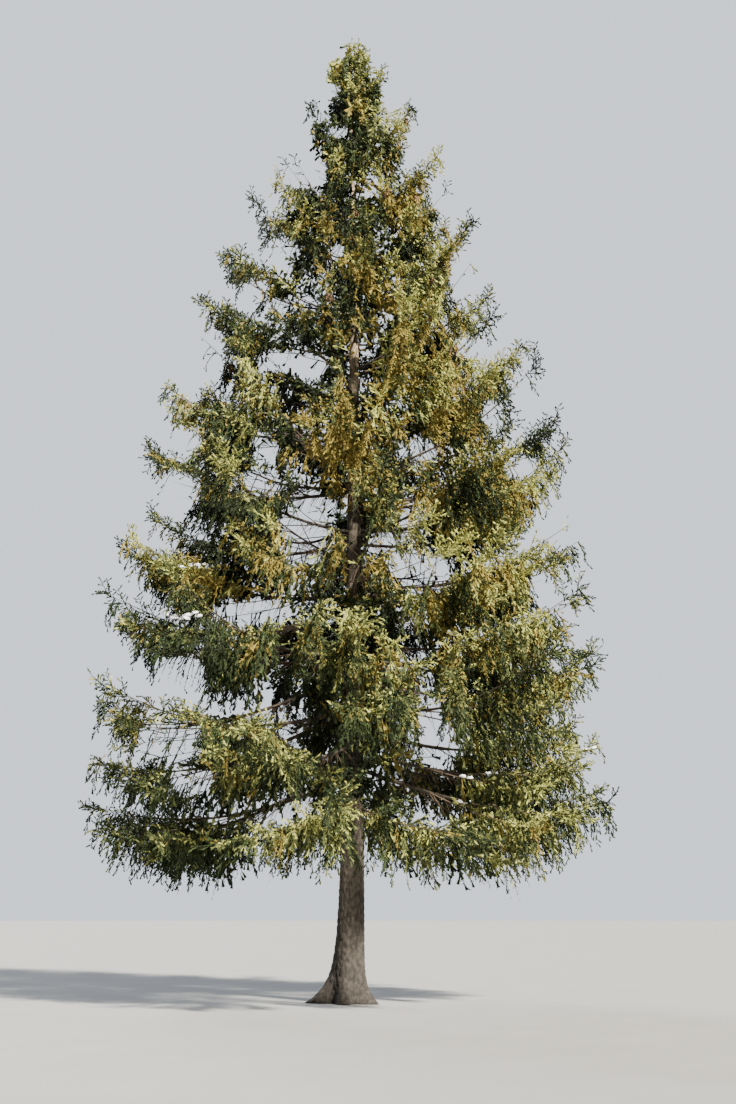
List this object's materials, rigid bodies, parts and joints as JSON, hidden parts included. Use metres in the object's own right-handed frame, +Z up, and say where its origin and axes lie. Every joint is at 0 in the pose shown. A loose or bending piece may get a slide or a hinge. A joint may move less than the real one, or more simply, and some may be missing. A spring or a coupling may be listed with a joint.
{
  "type": "norway spruce tree",
  "caption": "Tall free-standing spruce with one straight trunk, a flared foot, sagging boughs with upturned tips and hanging sprays of needles in a full cone.",
  "frame": {"origin": "middle of the flat cut under the trunk, at ground level", "axes": "+Z up along the trunk, -Y towards the picture's viewer, +X to that viewer's right"},
  "size_m": [9.0107, 8.8117, 18],
  "materials": {
    "trunk_bark": "rough grey-brown scaly bark",
    "bough_bark": "rough dark brown bark",
    "needles": "matt dark to olive green needles"
  },
  "bodies": {
    "root": {"trunk": "trunk_bark", "bough_01": "bough_bark", "bough_02": "bough_bark", "bough_03": "bough_bark", "bough_04": "bough_bark", "bough_05": "bough_bark", "bough_06": "bough_bark", "bough_07": "bough_bark", "bough_08": "bough_bark", "bough_09": "bough_bark", "bough_10": "bough_bark", "bough_11": "bough_bark", "bough_12": "bough_bark", "foliage_01": "needles", "foliage_02": "needles", "foliage_03": "needles", "foliage_04": "needles", "foliage_05": "needles", "foliage_06": "needles", "foliage_07": "needles", "foliage_08": "needles", "foliage_09": "needles", "foliage_10": "needles", "foliage_11": "needles", "foliage_12": "needles", "foliage_13": "needles", "foliage_14": "needles", "foliage_15": "needles", "foliage_16": "needles", "foliage_17": "needles", "foliage_18": "needles", "foliage_19": "needles", "foliage_20": "needles", "foliage_21": "needles", "foliage_22": "needles", "foliage_23": "needles", "foliage_24": "needles", "foliage_25": "needles", "foliage_26": "needles", "foliage_27": "needles", "foliage_28": "needles", "foliage_29": "needles", "foliage_30": "needles", "foliage_31": "needles", "foliage_32": "needles", "foliage_33": "needles", "foliage_34": "needles", "foliage_35": "needles", "foliage_36": "needles", "foliage_37": "needles", "foliage_38": "needles", "foliage_39": "needles", "foliage_40": "needles", "foliage_41": "needles", "foliage_42": "needles", "foliage_43": "needles", "foliage_44": "needles", "foliage_45": "needles", "leader_shoot": "needles"}
  },
  "joints": []
}
